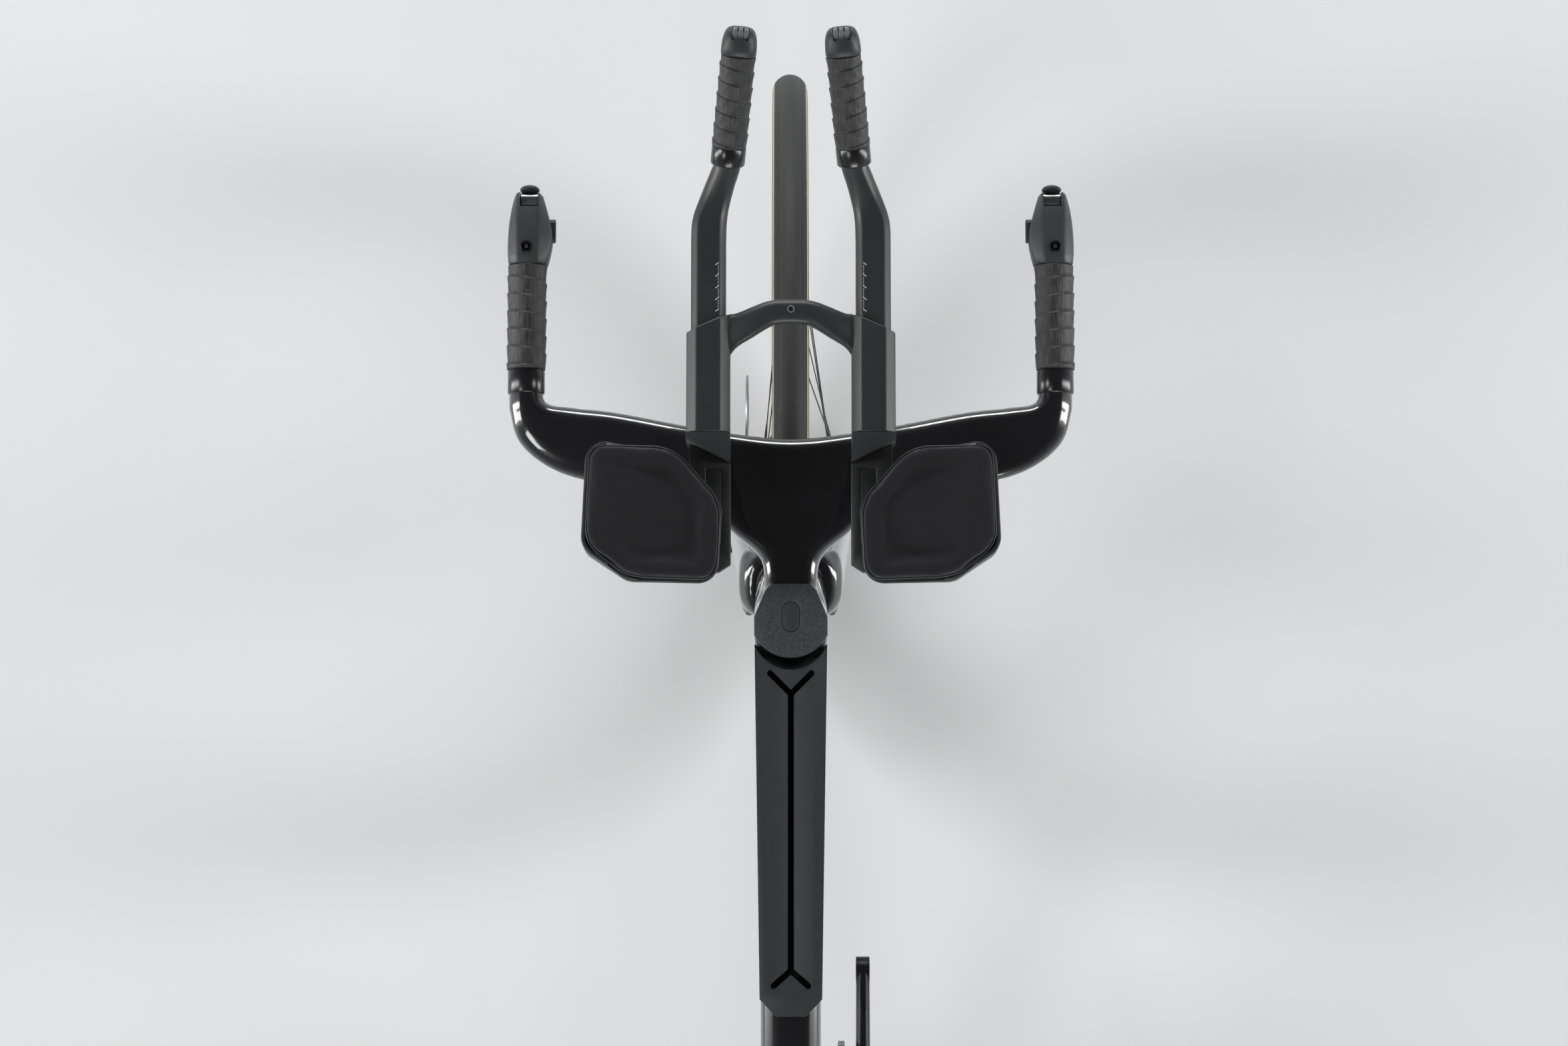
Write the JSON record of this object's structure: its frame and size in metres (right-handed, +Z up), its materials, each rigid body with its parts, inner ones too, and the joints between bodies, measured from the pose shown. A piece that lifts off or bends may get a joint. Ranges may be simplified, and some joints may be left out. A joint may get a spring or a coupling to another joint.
{
  "type": "time trial bike",
  "caption": "Time trial bicycle with a wing base bar, aero extensions with arm rests, disc brakes, a chain drive with a rear derailleur and a storage box on the top tube.",
  "frame": {"origin": "on the ground, midway between the two wheel axles, on the bike's middle plane", "axes": "+X forward, +Y to the rider's left, +Z up"},
  "size_m": [1.69, 0.4324, 0.9885],
  "materials": {
    "gloss_carbon": "glossy black clear coat over carbon",
    "satin_carbon": "satin dark grey carbon",
    "rim_carbon": "satin black carbon rim",
    "tyre": "black rubber with a thin cream sidewall line",
    "spoke_steel": "black coated steel",
    "disc_steel": "brushed steel",
    "chain_steel": "oiled steel",
    "black_alloy": "black anodised alloy",
    "grey_alloy": "satin grey alloy",
    "tape_rubber": "dark grey grip tape with pressed dashes",
    "lid_rubber": "satin soft rubber",
    "speckled_plastic": "matte grey with a fine speckle",
    "black_plastic": "satin black moulded plastic",
    "pad_fabric": "black napped fabric over foam",
    "saddle_cover": "black soft synthetic leather"
  },
  "bodies": {
    "frame": {"main_frame": "gloss_carbon", "rear_stays": "gloss_carbon", "derailleur_hanger": "black_alloy", "storage_box": "black_plastic", "storage_lid": "lid_rubber", "rear_caliper": "black_alloy", "rear_axle": "black_alloy", "frame_bearings": "disc_steel", "chain": "chain_steel", "derailleur_base": "grey_alloy"},
    "seat": {"seatpost": "gloss_carbon", "saddle_clamp": "black_alloy", "saddle_rails": "disc_steel", "saddle_shell": "black_plastic", "saddle_pad": "saddle_cover"},
    "steering": {"fork": "gloss_carbon", "base_bar": "gloss_carbon", "stem_cover": "speckled_plastic", "cover_plug": "lid_rubber", "extension_bridge": "satin_carbon", "extension_clamps": "satin_carbon", "pad_rails": "satin_carbon", "pad_cups": "satin_carbon", "arm_pads": "pad_fabric", "bar_tape": "tape_rubber", "lever_bodies": "black_plastic", "front_caliper": "black_alloy", "front_axle": "black_alloy"},
    "extension_l": {"extension_left": "satin_carbon", "extension_grip_left": "tape_rubber", "shifter_left": "black_plastic"},
    "extension_r": {"extension_right": "satin_carbon", "extension_grip_right": "tape_rubber", "shifter_right": "black_plastic"},
    "shift_l": {"shift_button_left": "black_plastic"},
    "shift_r": {"shift_button_right": "black_plastic"},
    "bar_button_l": {"bar_button_left": "black_plastic"},
    "bar_button_r": {"bar_button_right": "black_plastic"},
    "brake_l": {"brake_lever_left": "black_plastic"},
    "brake_r": {"brake_lever_right": "black_plastic"},
    "front_wheel": {"front_tyre": "tyre", "front_rim": "rim_carbon", "front_spokes": "spoke_steel", "front_hub": "black_alloy", "front_rotor": "disc_steel"},
    "rear_wheel": {"rear_tyre": "tyre", "rear_rim": "rim_carbon", "rear_spokes": "spoke_steel", "rear_hub": "black_alloy", "rear_rotor": "disc_steel"},
    "sprockets": {"cassette": "chain_steel"},
    "crank": {"crank_right": "black_alloy", "crank_left": "black_alloy", "chainring": "grey_alloy"},
    "outer_link": {"derailleur_outer_link": "grey_alloy"},
    "inner_link": {"derailleur_inner_link": "grey_alloy"},
    "knuckle": {"derailleur_knuckle": "grey_alloy"},
    "cage": {"derailleur_cage": "grey_alloy"},
    "guide_pulley": {"upper_pulley": "black_plastic"},
    "tension_pulley": {"lower_pulley": "black_plastic"}
  },
  "joints": [
    {"name": "steering_turn", "type": "hinge", "parent": "frame", "child": "steering", "pos_m": [0.46594, 0, 0.32637], "axis": [-0.3007, 0, 0.9537], "range_deg": [-45, 45]},
    {"name": "front_wheel_spin", "type": "hinge", "parent": "steering", "child": "front_wheel", "pos_m": [0.506, 0, 0.339], "axis": [0, 1, 0], "continuous": true},
    {"name": "rear_wheel_spin", "type": "hinge", "parent": "frame", "child": "rear_wheel", "pos_m": [-0.506, 0, 0.339], "axis": [0, 1, 0], "continuous": true},
    {"name": "crank_spin", "type": "hinge", "parent": "frame", "child": "crank", "pos_m": [-0.0963, 0, 0.267], "axis": [0, 1, 0], "continuous": true, "deforming": ["chain"]},
    {"name": "cassette_spin", "type": "hinge", "parent": "frame", "child": "sprockets", "pos_m": [-0.506, 0, 0.339], "axis": [0, 1, 0], "continuous": true, "deforming": ["chain"]},
    {"name": "derailleur_shift", "type": "hinge", "parent": "frame", "child": "outer_link", "pos_m": [-0.55, -0.08, 0.275], "axis": [0, 0, 1], "range_deg": [-29, 24], "deforming": ["chain"]},
    {"name": "inner_link_turn", "type": "hinge", "parent": "frame", "child": "inner_link", "pos_m": [-0.55, -0.064, 0.275], "axis": [0, 0, 1], "range_deg": [-29, 24], "deforming": ["chain"]},
    {"name": "knuckle_turn", "type": "hinge", "parent": "outer_link", "child": "knuckle", "pos_m": [-0.505, -0.08, 0.275], "axis": [0, 0, 1], "range_deg": [-24, 29], "deforming": ["chain"]},
    {"name": "cage_swing", "type": "hinge", "parent": "knuckle", "child": "cage", "pos_m": [-0.492, -0.0446, 0.242], "axis": [0, 1, 0], "range_deg": [-30, 25], "stiffness_Nm_per_rad": 2, "deforming": ["chain"]},
    {"name": "upper_pulley_spin", "type": "hinge", "parent": "cage", "child": "guide_pulley", "pos_m": [-0.492, -0.0446, 0.242], "axis": [0, 1, 0], "continuous": true, "deforming": ["chain"]},
    {"name": "lower_pulley_spin", "type": "hinge", "parent": "cage", "child": "tension_pulley", "pos_m": [-0.46821, -0.0446, 0.15313], "axis": [0, 1, 0], "continuous": true, "deforming": ["chain"]},
    {"name": "seat_height", "type": "slide", "parent": "frame", "child": "seat", "axis": [-0.2419, 0, 0.9703], "range_m": [-0.05, 0.05]},
    {"name": "extension_reach_left", "type": "slide", "parent": "steering", "child": "extension_l", "axis": [1, 0, 0], "range_m": [-0.014, 0.03]},
    {"name": "extension_reach_right", "type": "slide", "parent": "steering", "child": "extension_r", "axis": [1, 0, 0], "range_m": [-0.014, 0.03]},
    {"name": "shift_press_left", "type": "slide", "parent": "extension_l", "child": "shift_l", "axis": [-0.8801, 0.1011, -0.4639], "range_m": [0, 0.0012], "stiffness_N_per_m": 800},
    {"name": "shift_press_right", "type": "slide", "parent": "extension_r", "child": "shift_r", "axis": [-0.8801, -0.1011, -0.4639], "range_m": [0, 0.0012], "stiffness_N_per_m": 800},
    {"name": "bar_press_left", "type": "slide", "parent": "steering", "child": "bar_button_l", "axis": [0, 1, 0], "range_m": [0, 0.0012], "stiffness_N_per_m": 800},
    {"name": "bar_press_right", "type": "slide", "parent": "steering", "child": "bar_button_r", "axis": [0, -1, 0], "range_m": [0, 0.0012], "stiffness_N_per_m": 800},
    {"name": "brake_pull_left", "type": "hinge", "parent": "steering", "child": "brake_l", "pos_m": [0.6455, 0.1986, 0.783], "axis": [0, 1, 0], "range_deg": [0, 20], "stiffness_Nm_per_rad": 1},
    {"name": "brake_pull_right", "type": "hinge", "parent": "steering", "child": "brake_r", "pos_m": [0.6455, -0.1986, 0.783], "axis": [0, 1, 0], "range_deg": [0, 20], "stiffness_Nm_per_rad": 1}
  ],
  "couplings": [
    {"joint": "cassette_spin", "follows": "crank_spin", "ratio": 3.0588},
    {"joint": "upper_pulley_spin", "follows": "crank_spin", "ratio": -4.3333},
    {"joint": "lower_pulley_spin", "follows": "crank_spin", "ratio": 4.3333},
    {"joint": "inner_link_turn", "follows": "derailleur_shift", "ratio": 1},
    {"joint": "knuckle_turn", "follows": "derailleur_shift", "ratio": -1}
  ]
}
